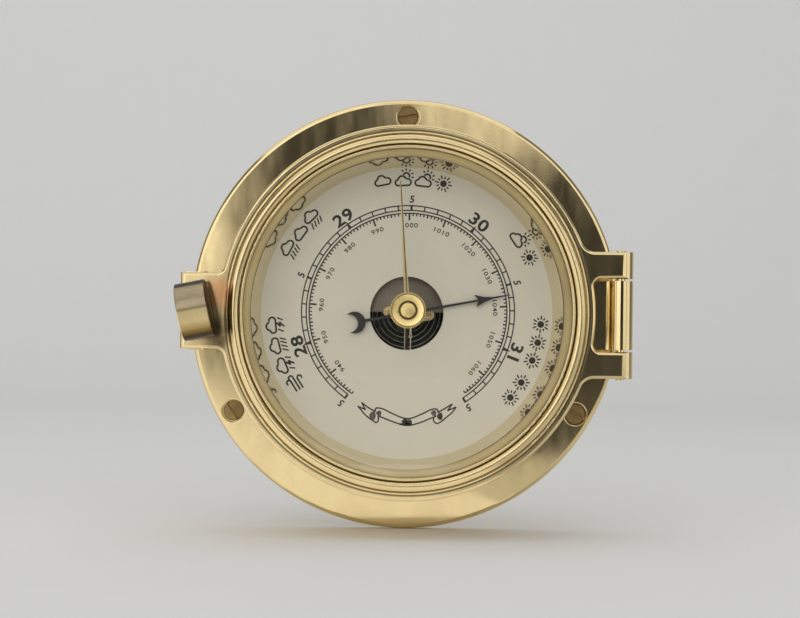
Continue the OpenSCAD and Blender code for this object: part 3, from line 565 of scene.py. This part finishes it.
def add_curve(bm, curve, placed):
    """Makes a curve a mesh, puts it in its place and adds it."""
    shape = bpy.data.objects.new(curve.name, curve)
    scene.collection.objects.link(shape)
    made = bpy.data.meshes.new_from_object(shape.evaluated_get(bpy.context.evaluated_depsgraph_get()))
    made.transform(placed)
    bm.from_mesh(made)
    bpy.data.meshes.remove(made)
    bpy.data.objects.remove(shape)
    bpy.data.curves.remove(curve)


def add_text(bm, words, size, placed, weight=0.0, shear=0.0, spacing=1.0):
    """Adds raised figures; placed turns them from the text's own plane into the dial's."""
    curve = bpy.data.curves.new("figures", "FONT")
    curve.body = words
    curve.size = size
    curve.align_x = "CENTER"
    curve.align_y = "CENTER"
    curve.offset = weight
    curve.shear = shear
    curve.space_character = spacing
    curve.extrude = INK_T / 2
    curve.resolution_u = 3
    add_curve(bm, curve, placed)


def soft_line(points, radius, steps):
    """A round line that runs softly through points."""
    curve = bpy.data.curves.new("line", "CURVE")
    curve.dimensions = "3D"
    curve.bevel_depth = radius
    curve.bevel_resolution = 1
    curve.use_fill_caps = True
    curve.resolution_u = steps
    line = curve.splines.new("BEZIER")
    line.bezier_points.add(len(points) - 1)
    for knot, at in zip(line.bezier_points, points):
        knot.co = at
        knot.handle_left_type = knot.handle_right_type = "AUTO"
    return curve


def add_stroke(bm, points, width):
    """Adds a drawn line, flattened to the thickness of ink."""
    line = soft_line([(x, y, 0) for x, y in points], width / 2, 5)
    add_curve(bm, line, Matrix.Diagonal((1, 1, INK_T / width, 1)))


def add_wire(bm, points, radius):
    """Adds a round wire through points."""
    add_curve(bm, soft_line(points, radius, 3), Matrix())


# Print on the dial

DIAL_FACE = -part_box("dial")[0].y / MM
PRINT_AT = Matrix.Translation((0.46, 0.4, DIAL_FACE + 0.005))
PRINT_TURN = math.radians(-1.2)
TURN_PER_INCH = math.radians(72.8)
MILLIBARS_PER_INCH = 33.8639
TOP_INCHES, LOW_INCHES, HIGH_INCHES = 29.5, 27.5, 31.5
LOW_MILLIBARS, HIGH_MILLIBARS = 932, 1067
MILLIBAR_TURN = math.radians(3.3)

LINE_W = 0.44
BAND_OUTER, BAND_INNER = 36.2, 34.6
WHOLE_INCH_REACH, WHOLE_INCH_FOOT, WHOLE_INCH_TIP = 0.95, 1.3, 0.2
HALF_INCH_REACH, HALF_INCH_W = 0.25, 0.75
TENTH_W = 0.46
MILLIBAR_LINE = 33.6
# Lengths and widths of the millibar ticks.
TEN_TICK, FIVE_TICK, ONE_TICK = (2.4, 0.6), (1.1, 0.56), (0.95, 0.44)

FIGURES_WIDE = Matrix.Diagonal((1.2, 1, 1, 1))
MILLIBAR_FIGURES_R, MILLIBAR_FIGURES_SIZE = 29.45, 2.2
INCH_FIGURES_R, INCH_FIGURES_SIZE = 38.7, 5.8
FIVES_R, FIVES_SIZE = 38.3, 3.3


def angle_of(inches):
    """Direction of a reading on the dial, from the right, anticlockwise."""
    return math.radians(90) + PRINT_TURN - (inches - TOP_INCHES) * TURN_PER_INCH


def angle_of_millibars(millibars):
    return angle_of(millibars / MILLIBARS_PER_INCH) + MILLIBAR_TURN


def on_dial(radius, angle):
    """Matrix that stands figures on a circle of the dial, with their tops outwards."""
    at = Vector((radius * math.cos(angle), radius * math.sin(angle), 0))
    return Matrix.Translation(at) @ Matrix.Rotation(angle - math.radians(90), 4, "Z")


def printed(name, bm):
    """Lays drawn ink on the dial as a piece of its own."""
    finished(name, bm, "case", INK, placed=STAND_UP @ PRINT_AT)


def print_scales():
    """Inch band with its divisions, and the millibar line with its ticks inside it."""
    bm = bmesh.new()
    low, high = angle_of(LOW_INCHES), angle_of(HIGH_INCHES)
    for radius in (BAND_OUTER, BAND_INNER):
        add_arc(bm, radius - LINE_W / 2, radius + LINE_W / 2, low, high)
    for tenth in range(round((HIGH_INCHES - LOW_INCHES) * 10) + 1):
        angle = angle_of(LOW_INCHES + tenth / 10)
        if tenth % 10 == 5:
            reach = BAND_OUTER + WHOLE_INCH_REACH
            add_wedge(bm, angle, BAND_INNER, reach, WHOLE_INCH_FOOT, WHOLE_INCH_TIP)
        elif tenth % 5 == 0:
            add_tick(bm, angle, BAND_INNER, BAND_OUTER + HALF_INCH_REACH, HALF_INCH_W)
        else:
            add_tick(bm, angle, BAND_INNER, BAND_OUTER, TENTH_W)
    low, high = angle_of_millibars(LOW_MILLIBARS), angle_of_millibars(HIGH_MILLIBARS)
    add_arc(bm, MILLIBAR_LINE - LINE_W / 2, MILLIBAR_LINE + LINE_W / 2, low, high)
    for millibars in range(LOW_MILLIBARS, HIGH_MILLIBARS + 1):
        length, width = TEN_TICK if millibars % 10 == 0 else FIVE_TICK if millibars % 5 == 0 else ONE_TICK
        add_tick(bm, angle_of_millibars(millibars), MILLIBAR_LINE - length, MILLIBAR_LINE, width)
    solid_print(bm)
    printed("dial_scales", bm)


def print_figures():
    """Small millibar figures inside, bold inch figures and small fives outside."""
    bm = bmesh.new()
    for millibars in range(940, 1061, 10):
        at = on_dial(MILLIBAR_FIGURES_R, angle_of_millibars(millibars)) @ FIGURES_WIDE
        add_text(bm, str(millibars), MILLIBAR_FIGURES_SIZE, at, weight=0.035, spacing=1.16)
    for inches in range(28, 32):
        at = on_dial(INCH_FIGURES_R, angle_of(inches)) @ FIGURES_WIDE
        add_text(bm, str(inches), INCH_FIGURES_SIZE, at, weight=0.15, spacing=1.06)
    for half in (27.5, 28.5, 29.5, 30.5, 31.5):
        add_text(bm, "5", FIVES_SIZE, on_dial(FIVES_R, angle_of(half)), weight=0.1, shear=0.12)
    printed("dial_figures", bm)


SIGN_LINE = 0.62
RAY_LINE = SIGN_LINE * 0.8
SIGN_R = 45.3
CLOUD_UP = Matrix.Translation((0, 1.15, 0))
BOLT = ((0.7, -0.5), (-0.5, -1.6)), ((-0.5, -1.6), (0.8, -1.5)), ((0.8, -1.5), (-0.6, -2.9))


def draw_cloud(bm):
    add_bow(bm, (-1.65, -0.3), 1.0, 90, 270, SIGN_LINE)
    add_bow(bm, (-0.3, 0.6), 1.35, 10, 178, SIGN_LINE)
    add_bow(bm, (1.6, -0.2), 1.1, -90, 110, SIGN_LINE)
    add_line(bm, (-1.65, -1.3), (1.6, -1.3), SIGN_LINE)


def draw_sun(bm):
    bmesh.ops.create_circle(bm, cap_ends=True, segments=32, radius=1.15)
    for i in range(12):
        add_tick(bm, i * math.tau / 12, 1.6, 2.95 if i % 2 == 0 else 2.5, RAY_LINE)


def draw_rain(bm):
    put(bm, CLOUD_UP, draw_cloud)
    for x in (-1.5, -0.2, 1.1, 2.3):
        add_line(bm, (x, -0.95), (x - 0.9, -2.7), RAY_LINE)


def draw_storm(bm):
    put(bm, CLOUD_UP, draw_cloud)
    for start, end in BOLT:
        add_line(bm, start, end, SIGN_LINE)
    for x in (-1.5, 2.4):
        add_line(bm, (x, -0.95), (x - 0.8, -2.5), RAY_LINE)


def draw_wind(bm):
    for y, reach, curl in ((0.95, 1.1, 1), (-0.35, 2.1, 1), (-1.5, 0.8, -1)):
        add_line(bm, (-2.7, y), (reach, y), SIGN_LINE)
        add_bow(bm, (reach, y + curl * 0.75), 0.75, -90 * curl, 140 * curl, SIGN_LINE)


def draw_half_sun(bm):
    """A cloud with part of a sun above its right shoulder."""
    put(bm, Matrix.Translation((0, -0.9, 0)), draw_cloud)
    centre = (1.2, 1.0)
    add_bow(bm, centre, 1.05, -30, 160, SIGN_LINE)
    for angle in (-15, 20, 55, 90, 125):
        put(bm, Matrix.Translation((*centre, 0)), add_tick, math.radians(angle), 1.75, 2.6, RAY_LINE)


# Signs round the dial, by their direction in degrees.
SIGNS = {
    212.7: draw_wind, 203.9: draw_storm, 195.1: draw_rain, 186.3: draw_storm,
    152.6: draw_rain, 144.4: draw_cloud, 136.2: draw_rain,
    101.7: draw_cloud, 92.9: draw_half_sun, 84.1: draw_half_sun, 75.3: draw_sun,
    34.4: draw_half_sun, 24.9: draw_sun,
    -4.6: draw_sun, -12.6: draw_sun, -20.6: draw_sun, -31.2: draw_sun, -39.2: draw_sun,
}


def print_signs():
    """Small weather signs round the dial, from storm on the left to dry on the right."""
    bm = bmesh.new()
    for direction, draw in SIGNS.items():
        put(bm, on_dial(SIGN_R, math.radians(direction)), draw)
    solid_print(bm)
    printed("dial_signs", bm)


RIBBON_AT = Matrix.Rotation(math.radians(0.7), 4, "Z") @ Matrix.Translation((-0.65, -37.3, 0))
RIBBON_LINE, SHADE_LINE = 0.50, 0.40
# Upper and lower edge, then the tail and the fold on the left and on the right.
RIBBON_LINES = [
    [
        (-10.5, 3.5), (-10.4, 4.5), (-9.4, 4.75), (-4.1, 2.55), (-0.7, 1.26),
        (1.2, 1.17), (5.6, 2.8), (9.6, 4.4), (10.6, 4.1), (10.8, 3.2),
    ],
    [(-9.6, 1.9), (-9.0, 1.8), (-2.9, -0.5), (0, -1.2), (2.7, -0.85), (9.24, 1.6), (10.2, 2.0)],
    [(-10.6, 3.6), (-12.9, 4.9), (-15.1, 6.6)],
    [(-16.4, 5.3), (-15.5, 4.3), (-13.9, 2.4), (-11.2, 0.4), (-10.2, -0.2), (-9.5, 0.5), (-9.6, 1.9)],
    [(10.8, 3.2), (12.9, 4.4), (15.6, 6.0)],
    [(16.9, 5.0), (15.8, 3.4), (13.6, 1.5), (11.7, 0.0), (10.2, -0.5), (9.3, 0.5), (9.3, 1.6)],
]
RIBBON_NOTCHES = [
    ((-15.1, 6.6), (-13.9, 4.25)), ((-13.9, 4.25), (-16.4, 5.3)),
    ((15.6, 6.0), (14.1, 3.85)), ((14.1, 3.85), (16.9, 5.0)),
]
# Hatched shades: left, right, top, foot and number of lines.
RIBBON_SHADES = [
    (-12.6, -10.4, 3.3, 1.0, 6), (-10.3, -8.5, 3.6, 2.3, 4),
    (-1.6, 0.4, 0.9, -0.7, 5), (-0.2, 1.9, 0.6, -0.7, 4), (-5.2, 3.0, -0.6, -0.95, 2),
    (8.3, 10.2, 3.7, 2.3, 4), (10.4, 12.3, 2.9, 0.9, 6),
]


def draw_ribbon(bm):
    for line in RIBBON_LINES:
        add_stroke(bm, line, RIBBON_LINE)


def draw_ribbon_shades(bm):
    """Notches in the ribbon's tails, and the hatching that shades its folds."""
    for start, end in RIBBON_NOTCHES:
        add_line(bm, start, end, RIBBON_LINE)
    for left, right, top, foot, lines in RIBBON_SHADES:
        for i in range(lines):
            y = top + (foot - top) * i / (lines - 1)
            trim = 0.35 * (right - left) * abs(2 * i / (lines - 1) - 1)
            add_line(bm, (left + trim, y), (right - trim * 0.4, y), SHADE_LINE)


def print_ribbon():
    bm = bmesh.new()
    put(bm, RIBBON_AT, draw_ribbon_shades)
    solid_print(bm)
    put(bm, RIBBON_AT, draw_ribbon)
    printed("dial_ribbon", bm)


# Fine wire that hangs from the hand's arbor. It takes the chain's place, and its twist stands a
# little to the right of it, clear of the arbor's drum.

CHAIN_LOW, CHAIN_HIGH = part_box("chain")
CHAIN_X = (CHAIN_LOW.x + CHAIN_HIGH.x) / 2 / MM
CHAIN_H = -(CHAIN_LOW.y + CHAIN_HIGH.y) / 2 / MM
CHAIN_FOOT = CHAIN_LOW.z / MM
WIRE_X = CHAIN_X + 0.14
TWIST_TOP, TWIST_FOOT, TWIST_R, TWISTS = -0.3, -7.2, 0.24, 6
STEPS_PER_TWIST = 8
EYE_FOOT, EYE_HALF = -8.6, 0.42
TWIST_WIRE_R, LOWER_WIRE_R = 0.14, 0.18


def hang_wire():
    """Twisted pair below the arbor, an eye, and a single wire down to the rocker."""
    bm = bmesh.new()
    steps = TWISTS * STEPS_PER_TWIST
    for side, half in ((0, EYE_HALF), (math.pi, -EYE_HALF)):
        twist = []
        for i in range(steps + 1):
            turn = side + math.tau * TWISTS * i / steps
            y = TWIST_TOP + (TWIST_FOOT - TWIST_TOP) * i / steps
            twist.append((WIRE_X + TWIST_R * math.cos(turn), y, CHAIN_H + TWIST_R * math.sin(turn)))
        twist.append((WIRE_X + half, (TWIST_FOOT + EYE_FOOT) / 2, CHAIN_H))
        twist.append((WIRE_X, EYE_FOOT, CHAIN_H))
        add_wire(bm, twist, TWIST_WIRE_R)
    lower = [(WIRE_X, EYE_FOOT + 0.1, CHAIN_H), (CHAIN_X, CHAIN_FOOT, CHAIN_H)]
    add_wire(bm, lower, LOWER_WIRE_R)
    wire = finished("arbor_wire", bm, "chain", WIRE_BRASS)
    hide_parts("chain")


# Stage, in metres

FOOT_Z = cad_box[0].z
FLOOR_Z = FOOT_Z - 0.0002
PAPER, PAPER_FLECK = (0.89, 0.89, 0.88), (0.86, 0.86, 0.85)
STAGE_HALF_W, STAGE_FRONT, COVE_START, COVE_R, WALL_TOP = 3.0, -3.0, 0.9, 0.7, 3.0

WORLD_COLOUR, WORLD_GLOW = (1.0, 0.985, 0.95, 1), 0.20
# Soft boxes: place, width and length, radiance, and turn in degrees. Unturned, one faces down.
SOFT_BOXES = {
    "soft_box_left": ((-1.17, -2.05, 0.965), (1.86, 2.07), 1.20, (90, 0, 0)),
    "soft_box_right": ((1.20, -2.05, 0.965), (1.80, 2.07), 0.85, (90, 0, 0)),
    "soft_box_top": ((0.03, -2.05, 1.115), (0.54, 1.77), 0.80, (90, 0, 0)),
    "soft_box_over": ((-0.3, -0.3, 2.0), (3.0, 2.4), 0.85, (0, 0, 0)),
    "soft_box_far_right": ((1.70, -0.75, 0.35), (1.1, 1.3), 0.8, (90, 0, 66)),
    "soft_box_far_left": ((-1.70, -0.75, 0.35), (1.1, 1.3), 0.8, (90, 0, -66)),
    "soft_box_low": ((-0.300, -0.598, FOOT_Z + 0.002), (0.46, 1.25), 0.37, (180, 0, -11.3)),
}
# Upright dark boards: place, width and height, and tone.
BOARDS = {
    "board_right": ((0.43, -1.95, 0.098), (0.47, 0.346), 0.07),
    "board_upper_left": ((-0.1045, -1.95, 0.375), (0.281, 0.45), 0.06),
    "board_left": ((-0.235, -1.95, -0.015), (0.09, 0.11), 0.10),
}
FLAG_AT, FLAG_R, FLAG_TONE = (0.036, -1.90, 0.017), 0.245, 0.02
MAT_AT, MAT_SIZE, MAT_TURN, MAT_TONE = (0.20, -1.10, FOOT_Z + 0.001), (0.64, 1.48), math.radians(-5.8), 0.05


def new_verts(made):
    """The vertices among what an operator has made."""
    return [v for v in made if isinstance(v, bmesh.types.BMVert)]


def new_edges(made):
    """The edges among what an operator has made."""
    return [e for e in made if isinstance(e, bmesh.types.BMEdge)]


def at_cove(edge):
    """Whether an edge lies where the floor turns up."""
    return all(abs(v.co.y - COVE_START) < 1e-5 for v in edge.verts)


def make_stage():
    """Pale floor that runs up into a pale backdrop through a wide cove."""
    material, shader = blank("studio paper", Roughness=0.9, Specular_IOR_Level=0.2)
    tree = material.node_tree
    fleck = spread(tree, noise(tree, place(tree), 30, detail=6), 0, 0.3)
    tree.links.new(blend(tree, fleck, PAPER, PAPER_FLECK), shader.inputs["Base Color"])
    bm = bmesh.new()
    edge = bm.edges.new([bm.verts.new((x, STAGE_FRONT, FLOOR_Z)) for x in (-STAGE_HALF_W, STAGE_HALF_W)])
    floor = bmesh.ops.extrude_edge_only(bm, edges=[edge])["geom"]
    bmesh.ops.translate(bm, verts=new_verts(floor), vec=(0, COVE_START - STAGE_FRONT, 0))
    back = [e for e in new_edges(floor) if at_cove(e)]
    cove = bmesh.ops.spin(
        bm, geom=[*back, *back[0].verts], cent=(0, COVE_START, FLOOR_Z + COVE_R), axis=(1, 0, 0),
        angle=math.radians(90), steps=24, use_duplicate=False,
    )["geom_last"]
    wall = bmesh.ops.extrude_edge_only(bm, edges=new_edges(cove))["geom"]
    bmesh.ops.translate(bm, verts=new_verts(wall), vec=(0, 0, WALL_TOP))
    mesh = bpy.data.meshes.new("studio_sweep")
    bm.to_mesh(mesh)
    bm.free()
    mesh.materials.append(material)
    mesh.shade_smooth()
    sweep = bpy.data.objects.new("studio_sweep", mesh)
    scene.collection.objects.link(sweep)


def soft_box(name, at, size, glow, turn):
    """Rectangular lamp with an even face of the given radiance."""
    lamp = bpy.data.lights.new(name, "AREA")
    lamp.shape = "RECTANGLE"
    lamp.size, lamp.size_y = size
    lamp.energy = glow * math.pi * size[0] * size[1]
    box = bpy.data.objects.new(name, lamp)
    scene.collection.objects.link(box)
    box.location = at
    box.rotation_euler = Euler([math.radians(angle) for angle in turn])
    box.visible_camera = False


def screen(name, bm, tone):
    """Board out of the camera's sight that takes no light away and gives brass something dark to mirror."""
    colour = (tone, tone, tone, 1)
    material = blank(name, Base_Color=colour, Roughness=0.9, Specular_IOR_Level=0.1)[0]
    mesh = bpy.data.meshes.new(name)
    bm.to_mesh(mesh)
    bm.free()
    mesh.materials.append(material)
    board = bpy.data.objects.new(name, mesh)
    scene.collection.objects.link(board)
    board.visible_camera = board.visible_diffuse = board.visible_shadow = False


def flat_board(size, placed):
    """Flat rectangle in its place."""
    bm = bmesh.new()
    shape = placed @ Matrix.Diagonal((*size, 1, 1))
    bmesh.ops.create_grid(bm, x_segments=1, y_segments=1, size=0.5, matrix=shape)
    return bm


def upright(at):
    """Matrix that stands a flat shape up at a point."""
    return Matrix.Translation(at) @ Matrix.Rotation(math.radians(90), 4, "X")


def camera_flag():
    """Round black flag behind the camera, which keeps the dial's glass clear of reflections."""
    bm = bmesh.new()
    bmesh.ops.create_circle(bm, cap_ends=True, segments=48, radius=FLAG_R, matrix=upright(FLAG_AT))
    return bm


def floor_mat():
    """Mat that runs from just before the barometer to below the camera, turned a little to the left."""
    return flat_board(MAT_SIZE, Matrix.Translation(MAT_AT) @ Matrix.Rotation(MAT_TURN, 4, "Z"))


def light_studio():
    """Even light from soft boxes round the camera and overhead, with dark boards for the brass to mirror."""
    world = bpy.data.worlds.new("studio air")
    scene.world = world
    world.use_nodes = True
    air = world.node_tree.nodes["Background"]
    air.inputs["Color"].default_value = WORLD_COLOUR
    air.inputs["Strength"].default_value = WORLD_GLOW
    for name, (at, size, glow, turn) in SOFT_BOXES.items():
        soft_box(name, at, size, glow, turn)
    screen("camera_flag", camera_flag(), FLAG_TONE)
    screen("floor_mat", floor_mat(), MAT_TONE)
    for name, (at, size, tone) in BOARDS.items():
        screen(name, flat_board(size, upright(at)), tone)


make_camera()
make_stage()
light_studio()
dress_cad_nodes()
print_scales()
print_figures()
print_signs()
print_ribbon()
hang_wire()
